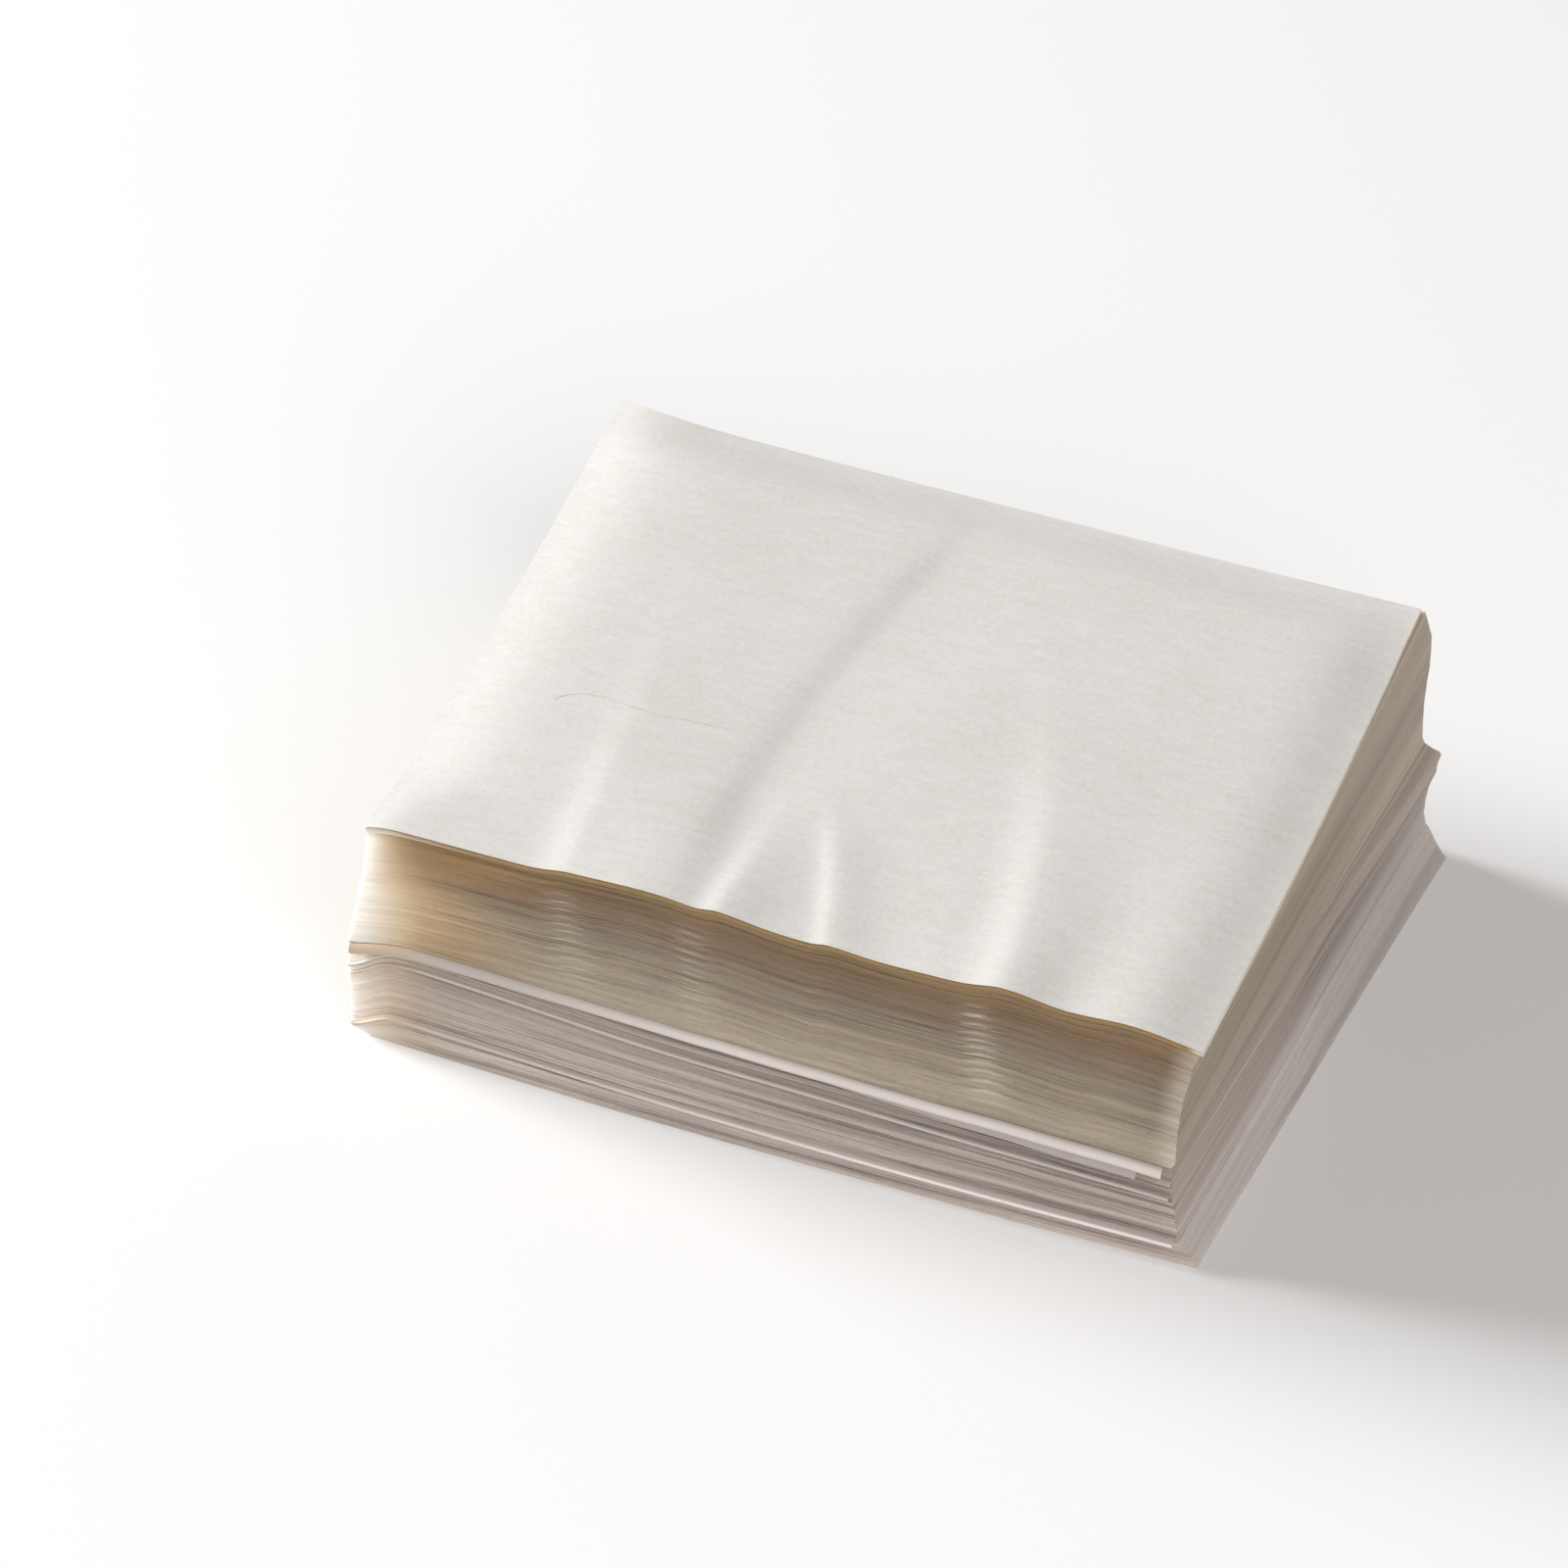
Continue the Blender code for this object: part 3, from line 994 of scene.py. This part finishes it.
@dataclass
class Sheaf:
    """A sheaf of leaves pressed together, with the relief of every leaf's edge."""

    name: str
    node: str
    slot: str
    low: float
    high: float
    relief: LeafRelief
    front: Finish
    arcs: tuple[ArcColumn, ...] = ()
    pitch: float = 0.26
    across: int = 90
    deep: int = 36
    air: float = 0.02
    rounding: float = 0.02
    uneven: float = 0.28
    groove_painted_shade: float = 0.3
    bulge: float = 0.4
    bulge_width: float = 2.2
    bulge_levels: Levels = (0.44, 0.60, 0.85, 0.97)
    arc_width: float = 1.6
    arc_gain: float = 1.6
    arc_levels: Levels = (0.44, 0.60, 0.80, 0.92)
    face_gains: Levels = (1.0, 0.8, 0.25, 0.2)  # front, back, left and right
    calm: float = 0.35
    calm_mm: float = 12.0
    columns_at: float = 0.7
    cut_seed: int = 500
    closing: float = 1e-6

    def liveliness(self, form: PileForm, u: Array, v: Array, middle: Array) -> Array:
        """How uneven the leaves' edges are: most where the paper waves, least at the ends.

        Args:
            form: The pile's form.
            u: Place across of each point round the edge.
            v: Its place along.
            middle: Share of the height of each leaf.

        Returns:
            Factors, leaves by points.
        """
        x, _ = form.plan(u, v, np.full_like(u, self.columns_at))
        front = v < -ON_FACE
        ahead, behind, left, right = self.face_gains
        face = np.where(front, ahead, np.where(u > ON_FACE, right, np.where(u < -ON_FACE, left, behind)))
        calm = self.calm + (1.0 - self.calm) * smooth(0.0, self.calm_mm, form.from_left(u))
        columns = sum(bump(x - arc.top, self.arc_width, self.arc_width) * arc.strength for arc in self.arcs)
        waving = plateau(self.arc_levels, middle[:, None])
        return (face * calm)[None, :] + self.arc_gain * columns * front[None, :] * waving

    def rings(self, form: PileForm, u: Array, v: Array) -> tuple[Array, Array, Array]:
        """Rings of the wall from the bottom up: foot, middle and head of each leaf, then a groove.

        Args:
            form: The pile's form.
            u: Place across of each point round the edge.
            v: Its place along.

        Returns:
            Share, stand-out and tone, each rings by points.
        """
        count = int(round((self.high - self.low) * PILE_MM / self.pitch))
        rng = np.random.default_rng(self.relief.seed + self.cut_seed)
        cuts = np.linspace(self.low, self.high, count + 1)
        cuts[1:-1] += rng.uniform(-self.uneven, self.uneven, count - 1) * (self.high - self.low) / count
        gain = self.liveliness(form, u, v, 0.5 * (cuts[1:] + cuts[:-1]))
        steps = np.hypot(0.5 * form.length * np.diff(u), 0.5 * form.depth * np.diff(v))
        out, depth, tones = self.relief.edges(count, self.pitch, np.r_[0.0, np.cumsum(steps)], gain)
        air = self.air / PILE_MM
        share, stand, tone = [], [], []
        for k in range(count):
            share += [cuts[k] + air, 0.5 * (cuts[k] + cuts[k + 1]), cuts[k + 1] - air]
            stand += [out[k] - self.rounding, out[k], out[k] - self.rounding]
            tone += [tones[k]] * 3
            if k < count - 1:
                share.append(cuts[k + 1])
                stand.append(np.minimum(out[k], out[k + 1]) - depth[k])
                # painted shade: the groove between two leaves is painted darker
                tone.append(tones[k] - self.groove_painted_shade)
        stand = np.array(stand)
        return np.array(share)[:, None] + np.zeros_like(stand), stand, np.array(tone)

    def build(self, shop: Workshop) -> None:
        """Build and dress the sheaf.

        Args:
            shop: What the pieces share.
        """
        form = shop.form
        column, row = rim(self.across, self.deep)
        u, v = spread(self.across)[column], spread(self.deep)[row]
        share, stand, tone = self.rings(form, u, v)
        u, v = np.broadcast_to(u, share.shape), np.broadcast_to(v, share.shape)
        x, y = form.plan(u, v, share)
        z = form.height(x, y, share)
        front = v < -ON_FACE
        wide = self.bulge_width
        swell = sum(bump(x - wave.crest, wide, wide) * wave.height for wave in form.ripples)
        waving = plateau(self.bulge_levels, share)
        # the right face's broad swells stand out or sink, and are painted paler where they stand out and
        # darker where they sink: painted light and shade
        broad, painted_shading = (value * (u > ON_FACE) for value in form.swell(y, share))
        stand, tone = stand + self.bulge * swell * front * waving + broad, tone + painted_shading
        x = x + np.where(np.abs(u) > ON_FACE, np.sign(u), 0.0) * stand
        y = y + np.where(np.abs(v) > ON_FACE, np.sign(v), 0.0) * stand
        arc = sum((column.brightness(0.5 * form.length * u, share) for column in self.arcs), np.zeros_like(x))
        # the wall: one strip of the grid for each ring, rolled into a tube
        around = np.r_[0 : x.shape[1], 0]
        places = (value[:, around] for value in (x, y, z))
        values = {"share": share, "tone": tone, "from_left": form.from_left(u), "arc": arc * front}
        bm = bmesh.new()
        wall = shop.lay(bm, *places, **{name: value[:, around] for name, value in values.items()})
        # the front has a finish of its own; the other faces share one
        ahead = {vert for vert, is_front in zip(wall, front[:, around].ravel()) if is_front}
        for face in bm.faces:
            face.material_index = 0 if ahead.issuperset(face.verts) else 1
        # the lowest and the highest leaf close the tube
        gu, gv = np.meshgrid(spread(self.across), spread(self.deep))
        for ring, level in ((0, self.low), (-1, self.high)):
            at = np.full_like(gu, share[ring, 0])
            cx, cy = form.plan(gu, gv, at)
            cz = form.height(cx, cy, at)
            cx[row, column], cy[row, column], cz[row, column] = x[ring], y[ring], z[ring]
            for vert in shop.lay(bm, cx, cy, cz, share=level, from_left=form.from_left(gu)):
                for face in vert.link_faces:
                    face.material_index = 1
        bmesh.ops.remove_doubles(bm, verts=bm.verts, dist=self.closing)
        shop.keep(bm, self.name, [self.front, Finish.SIDE], self.node)


@dataclass
class TopSheet:
    """The rippled sheet on top of the pile."""

    name: str = "top_paper"
    across: int = 170
    deep: int = 130
    thickness: float = 0.06
    steep: float = 0.5

    def build(self, shop: Workshop) -> None:
        """Build and dress the sheet; its cut edges glow like those under it.

        Args:
            shop: What the pieces share.
        """
        bm = bmesh.new()
        shop.thin_sheet(bm, 1.0, self.across, self.deep, self.thickness, (0.0, 0.0))
        for face in bm.faces:
            face.normal_update()
            face.material_index = 1 if abs(face.normal.z) < self.steep else 0
        shop.keep(bm, self.name, [Finish.FACE, Finish.MARGIN], "top_sheet", soft=True)


@dataclass
class ClingingSheets:
    """The sheets just under the top one; their margins glow amber in the light from above."""

    name: str = "clinging_sheets"
    shares: tuple[float, ...] = (0.9560, 0.9615, 0.9670, 0.9725, 0.9780, 0.9835, 0.9890, 0.9942)
    slips: tuple[float, ...] = (0.86, 0.70, 0.54, 0.40, 0.28, 0.17, 0.09, 0.03)
    slip_left: float = 0.3
    across: int = 90
    deep: int = 36
    thickness: float = 0.16

    def build(self, shop: Workshop) -> None:
        """Build and dress the sheets.

        Args:
            shop: What the pieces share.
        """
        bm = bmesh.new()
        for share, slip in zip(self.shares, self.slips):
            slips = (-self.slip_left * slip, slip)
            shop.thin_sheet(bm, share, self.across, self.deep, self.thickness, slips)
        shop.keep(bm, self.name, [Finish.MARGIN])


@dataclass
class RolledSheet:
    """A sheet that has slipped out at the front, where its edge rolls over and down.

    Out, roll and trim are for the left and the right end: how far it stands out, the radius of the
    roll, and how far it stops short of the pile's end.  Turns are in degrees.
    """

    share: float
    out: Pair
    roll: Pair
    trim: Pair
    grows: Pair = (0.0, 0.45)
    sinks: float = 0.0
    sinks_over: Pair = (0.5, 0.8)
    # painted light of the roll: pale sets its strength; the crest gets a painted highlight, and the root, the
    # underside and the left end get painted shade
    pale: float = 1.0
    pale_left: float = 0.35
    pale_mm: Pair = (12.0, 45.0)
    pale_turn: Pair = (8.0, 66.0)
    dull_turn: Pair = (88.0, 115.0)
    dulls: float = 0.5
    tucked: float = 0.25
    turn: float = 115.0
    thickness: float = 0.10
    short_back: float = 2.0
    across: int = 120
    flat_rows: int = 8
    roll_rows: int = 12

    def painted_roll_light(self, angle: Array, from_left: Array) -> Array:
        """How much painted light the rolled paper gets: a painted highlight on the crest, painted shade at
        the root, underneath and towards the left end.

        Args:
            angle: How far it has rolled over.
            from_left: Distance from the left end.

        Returns:
            From 0 to 1, or more where a fold is tight.
        """
        crest = self.tucked + (1.0 - self.tucked) * smooth(*self.pale_turn, angle)
        crest = crest * (1.0 - self.dulls * smooth(*self.dull_turn, angle))
        along = self.pale_left + (1.0 - self.pale_left) * smooth(*self.pale_mm, from_left)
        return self.pale * crest * along

    def add(self, bm: Mesh, shop: Workshop) -> None:
        """Add the sheet to a mesh.

        Args:
            bm: The mesh.
            shop: What the pieces share.
        """
        form = shop.form
        # the roll comes first, from the sheet's free edge up to where it lies flat
        u, row = np.meshgrid(spread(self.across), np.arange(self.flat_rows + self.roll_rows + 1))
        right = 0.5 * (1.0 + u)
        share = self.share - self.sinks * smooth(*self.sinks_over, right)
        out = self.out[0] + (self.out[1] - self.out[0]) * right
        radius = self.roll[0] + (self.roll[1] - self.roll[0]) * smooth(*self.grows, right)
        front_x, front_y = form.plan(u, -np.ones_like(u), share)
        back_x, back_y = form.plan(u, np.ones_like(u), share)
        angle = np.radians(self.turn) * np.clip(1.0 - row / self.roll_rows, 0.0, 1.0)
        flat = np.clip((row - self.roll_rows) / self.flat_rows, 0.0, 1.0)
        edge_y = front_y - out + radius
        x = front_x + (back_x - front_x) * flat + (self.trim[0] * (1 - right) - self.trim[1] * right)
        base_y = edge_y + (back_y - self.short_back - edge_y) * flat
        y = base_y - radius * np.sin(angle)
        z = form.height(x, base_y, share) - radius * (1.0 - np.cos(angle))
        tone = self.painted_roll_light(np.degrees(angle), form.from_left(u))
        made = shop.lay(bm, x, y, z, tone=tone, from_left=form.from_left(u))
        faces = list(dict.fromkeys(face for vert in made for face in vert.link_faces))
        bmesh.ops.recalc_face_normals(bm, faces=faces)
        bmesh.ops.solidify(bm, geom=faces, thickness=self.thickness * MM)


@dataclass
class RolledSheets:
    """All the sheets whose front edges show as pale strips."""

    name: str = "rolled_sheets"
    sheets: tuple[RolledSheet, ...] = (
        RolledSheet(0.4340, out=(0.50, 0.80), roll=(0.90, 0.80), trim=(0.3, 0.9), sinks=0.004),
        RolledSheet(
            0.4310, out=(0.35, 0.72), roll=(0.80, 2.15), trim=(0.5, 3.6), grows=(0.45, 0.95),
            pale=0.22, pale_mm=(45.0, 80.0), turn=90.0,
        ),
        RolledSheet(
            0.3130, out=(0.25, 0.45), roll=(0.17, 0.20), trim=(0.5, 0.3), sinks=0.0135,
            pale=0.66, pale_mm=(1.0, 8.0), tucked=0.6,
        ),
        RolledSheet(
            0.1110, out=(0.30, 0.62), roll=(0.14, 0.18), trim=(0.5, 0.3), sinks=0.0085, sinks_over=(0.2, 0.8),
            pale=1.5, pale_mm=(12.0, 70.0), tucked=0.3,
        ),
    )

    def build(self, shop: Workshop) -> None:
        """Build and dress the sheets.

        Args:
            shop: What the pieces share.
        """
        bm = bmesh.new()
        for sheet in self.sheets:
            sheet.add(bm, shop)
        shop.keep(bm, self.name, [Finish.ROLLED], soft=True)


@dataclass
class StrayFibre:
    """A hair of dried starch, pressed into the top sheet near its left end.

    Its points are given as distance to the right and to the back of the sheet's middle.
    """

    name: str = "stray_fibre"
    points: tuple[Pair, ...] = ((-34.5, -10.9), (-29.4, -9.1), (-24.3, -9.7), (-18.5, -9.2), (-13.0, -10.4))
    width: float = 0.10
    thickness: float = 0.03
    kink: float = 0.06
    kinks: float = 31.0
    blunt: float = 0.02
    steps: int = 48
    tone: float = 0.75

    def build(self, shop: Workshop) -> None:
        """Build and dress the fibre, thin at its two ends.

        Args:
            shop: What the pieces share.
        """
        t = np.arange(self.steps + 1) / self.steps
        knots = np.linspace(0.0, 1.0, len(self.points))
        x, y = (np.polyval(np.polyfit(knots, axis, len(knots) - 1), t) for axis in zip(*self.points))
        y = y + self.kink * np.sin(self.kinks * t)
        side = 0.5 * self.width * np.sin(np.pi * np.clip(t, self.blunt, 1.0 - self.blunt)) ** 0.5
        x, y = np.stack([x, x]), np.stack([y - side, y + side])
        bm = bmesh.new()
        z = shop.form.height(x, y, np.ones_like(x))
        made = shop.lay(bm, x, y, z, tone=self.tone, from_left=shop.form.length)
        shop.thicken(bm, made, self.thickness)
        shop.keep(bm, self.name, [Finish.ROLLED])


# --- studio ---


def towards(azimuth: float, elevation: float) -> Vector:
    """Direction from the pile, by the degrees round from its front and above the table."""
    a, e = math.radians(azimuth), math.radians(elevation)
    return Vector((math.sin(a) * math.cos(e), -math.cos(a) * math.cos(e), math.sin(e)))


def place(name: str, data: Any, target: Vector, direction: Vector, distance: float) -> Piece:
    """Stand a light or a camera away from its target, and aim it there.

    Args:
        name: Its name.
        data: The light or the camera.
        target: What it looks at.
        direction: Direction from the target to it.
        distance: How far away it is.

    Returns:
        Its object.
    """
    item = bpy.data.objects.new(name, data)
    item.location = (target + direction * distance) * MM
    item.rotation_euler = direction.to_track_quat("Z", "Y").to_euler()
    bpy.context.scene.collection.objects.link(item)
    return item


@dataclass(frozen=True)
class SoftBox:
    """A large soft light, placed by direction from the pile; its power is in watts."""

    name: str
    azimuth: float
    elevation: float
    distance: float
    size: float
    power: float
    colour: str

    def build(self) -> None:
        """Make the light and aim it at the pile."""
        data = bpy.data.lights.new(self.name, "AREA")
        data.shape, data.size = "DISK", self.size * MM
        data.energy, data.color = self.power, linear(self.colour)[:3]
        place(self.name, data, Vector(), towards(self.azimuth, self.elevation), self.distance)


@dataclass(frozen=True)
class Studio:
    """Pale floor, soft light and the camera."""

    floor_size: float = 3000.0
    sky: float = 0.242
    sky_colour: str = "FFFBF8"
    lights: tuple[SoftBox, ...] = (
        SoftBox("key_from_left", -92.0, 21.0, 2000.0, 1020.0, 65.0, "FFFFFF"),
        SoftBox("fill_from_right_front", 44.0, 38.0, 1100.0, 800.0, 5.7, "FFFAF7"),
    )
    camera_from: Pair = (22.25, 40.8)
    camera_distance: float = 818.0
    camera_target: tuple[float, float, float] = (-14.41, 2.09, 15.0)
    lens: float = 180.0
    sensor: float = 36.0
    clip_metres: Pair = (0.05, 20.0)

    def floor(self) -> None:
        """Lay the floor."""
        bm = bmesh.new()
        bmesh.ops.create_grid(bm, x_segments=2, y_segments=2, size=0.5 * self.floor_size * MM)
        mesh = bpy.data.meshes.new("studio_floor")
        bm.to_mesh(mesh)
        bm.free()
        mesh.materials.append(FloorPaint().material())
        plane = bpy.data.objects.new("studio_floor", mesh)
        bpy.context.scene.collection.objects.link(plane)

    def light(self) -> None:
        """Hang the lights and the even surround."""
        for box in self.lights:
            box.build()
        world = bpy.data.worlds.new("studio_surround")
        world.use_nodes = True
        shade = world.node_tree.nodes["Background"]
        shade.inputs["Color"].default_value = linear(self.sky_colour)
        shade.inputs["Strength"].default_value = self.sky
        bpy.context.scene.world = world
        bpy.context.scene.view_settings.view_transform = "Standard"

    def camera(self, offset: Array) -> None:
        """Set up the camera.

        Args:
            offset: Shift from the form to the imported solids.
        """
        data = bpy.data.cameras.new("camera")
        data.lens, data.sensor_width = self.lens, self.sensor
        data.clip_start, data.clip_end = self.clip_metres
        target = Vector(self.camera_target) + Vector(offset.tolist())
        seen_from = towards(*self.camera_from)
        bpy.context.scene.camera = place("camera", data, target, seen_from, self.camera_distance)


# --- the pile ---

FINISHES: dict[Finish, Surface] = {
    Finish.FACE: SheetFace(),
    Finish.ROLLED: RolledFace(),
    Finish.UPPER: SheetEdges(brow_least=0.15),
    # deeper in the pile the paper is tighter and greyer, with coarser bands of painted light and shade; it is
    # painted paler at the bottom, for the light from the floor, and darker going up under the rolled strip,
    # as painted shade
    Finish.LOWER: SheetEdges(
        name="starch_paper_guillotined_tight",
        depths=(
            (0.0, "BFB4AC"), (0.094, "BFB4AC"), (0.101, "B6ABA2"), (0.30, "B0A59C"), (0.33, "AA9E95"),
            (0.36, "A99E94"), (0.43, "A99D92"), (1.0, "ABA092"),
        ),
        end_tints=((0.0, "F4F0EB"), (1.5, "EDE2D6"), (3.0, "DFD0BF"), (5.0, "CDBBA8"), (8.0, "BCAB9A")),
        end_mm=(6.0, 12.0),
        brow_most=0.0,
        right_light_share=0.25,
        glow_mm=2.0,
        streaks=(
            Streak(0.40, 18.0, 0.60), Streak(1.0, 60.0, 0.80),
            Streak(0.24, 7.0, 0.40), Streak(0.30, 0.7, 0.25),
        ),
        bands=(
            Band(0.300, 0.012, 0.08),
            Band(0.308, 0.024, -0.24, (45.0, 65.0)),
            Band(0.287, 0.010, -0.10),
            Band(0.275, 0.022, -0.42, (40.0, 62.0)),
            Band(0.238, 0.014, 0.08),
            Band(0.198, 0.040, -0.18, (15.0, 60.0)),
            Band(0.152, 0.014, 0.08),
            Band(0.137, 0.008, -0.08),
        ),
        leaf_tone=0.32,
    ),
    # on the side the paper is painted paler at the bottom, where the leaves flare up into the light, and
    # darkest a little above the middle as painted shade; its bands are painted light and shade
    Finish.SIDE: SheetEdges(
        name="starch_paper_guillotined_side",
        depths=(
            (0.0, "C9C1BC"), (0.12, "C9C1BC"), (0.17, "B7ADA5"), (0.30, "B2A79E"), (0.46, "B3A799"),
            (0.60, "A29686"), (0.75, "A29686"), (0.90, "ABA090"), (1.0, "B7AC9A"),
        ),
        end_tints=((0.0, "B3A895"), (3.0, "B1A591"), (8.0, "ADA08D")),
        brow_most=0.0,
        right_light_share=0.0,
        streaks=(Streak(0.45, 30.0, 0.36), Streak(1.8, 70.0, 0.42), Streak(0.30, 0.7, 0.20)),
        bands=(Band(0.275, 0.008, 0.10), Band(0.370, 0.008, 0.06), Band(0.418, 0.010, -0.10)),
        leaf_tone=0.15,
    ),
    # the margins of the topmost sheets, where light comes down through the paper: deep amber
    Finish.MARGIN: SheetEdges(
        name="starch_paper_margin_translucent",
        depths=((0.0, "9E7E4A"), (1.0, "9E7E4A")),
        end_tints=((0.0, "F6EEDF"), (2.0, "E6D3B4"), (5.0, "BE9D6C"), (10.0, "A6854F")),
        end_mm=(6.0, 16.0),
        end_narrows=0.0,
        brow_most=0.0,
        # painted light: the right cut edges of the topmost sheets are painted cream
        right_end="E9DCC6",
        right_light_mm=(88.0, 89.8),
        right_light_share=0.9,
        bands=(),
    ),
}

COLUMNS = (
    ArcColumn(21.5, 25.8, 1.2, 0.75),
    ArcColumn(-23.8, -18.6, 1.4, 0.45),
    ArcColumn(-9.3, -6.2, 1.3, 0.40),
)
BOTTOM, LOWER = LeafRelief(11, clump=0.10, cleft=0.07), LeafRelief(12, clump=0.15, cleft=0.09)
MIDDLE, UPPER = LeafRelief(13, clump=0.12, cleft=0.09), LeafRelief(14, shallow=0.02, cleft=0.035)
SHEAVES = (
    Sheaf("bottom_leaves", "bottom_sheets", "bottom_edges", 0.0, 0.0980, BOTTOM, Finish.LOWER),
    Sheaf("lower_leaves", "lower_sheaf", "lower_edges", 0.0985, 0.3405, LOWER, Finish.LOWER),
    Sheaf("middle_leaves", "middle_sheets", "middle_edges", 0.3410, 0.4325, MIDDLE, Finish.LOWER),
    Sheaf("upper_leaves", "upper_sheaf", "upper_edges", 0.4335, 0.9690, UPPER, Finish.UPPER, COLUMNS),
)


def main() -> None:
    """Build the pile piece by piece, then the studio."""
    logging.basicConfig(level=logging.INFO, format="%(name)s: %(message)s")
    form = PileForm()
    offset = form.cad_offset()
    shop = Workshop(form, offset, {finish: kind.material() for finish, kind in FINISHES.items()})
    for part in (*SHEAVES, ClingingSheets(), TopSheet(), RolledSheets(), StrayFibre()):
        part.build(shop)
    studio = Studio()
    studio.floor()
    studio.light()
    studio.camera(offset)


if __name__ == "__main__":
    main()
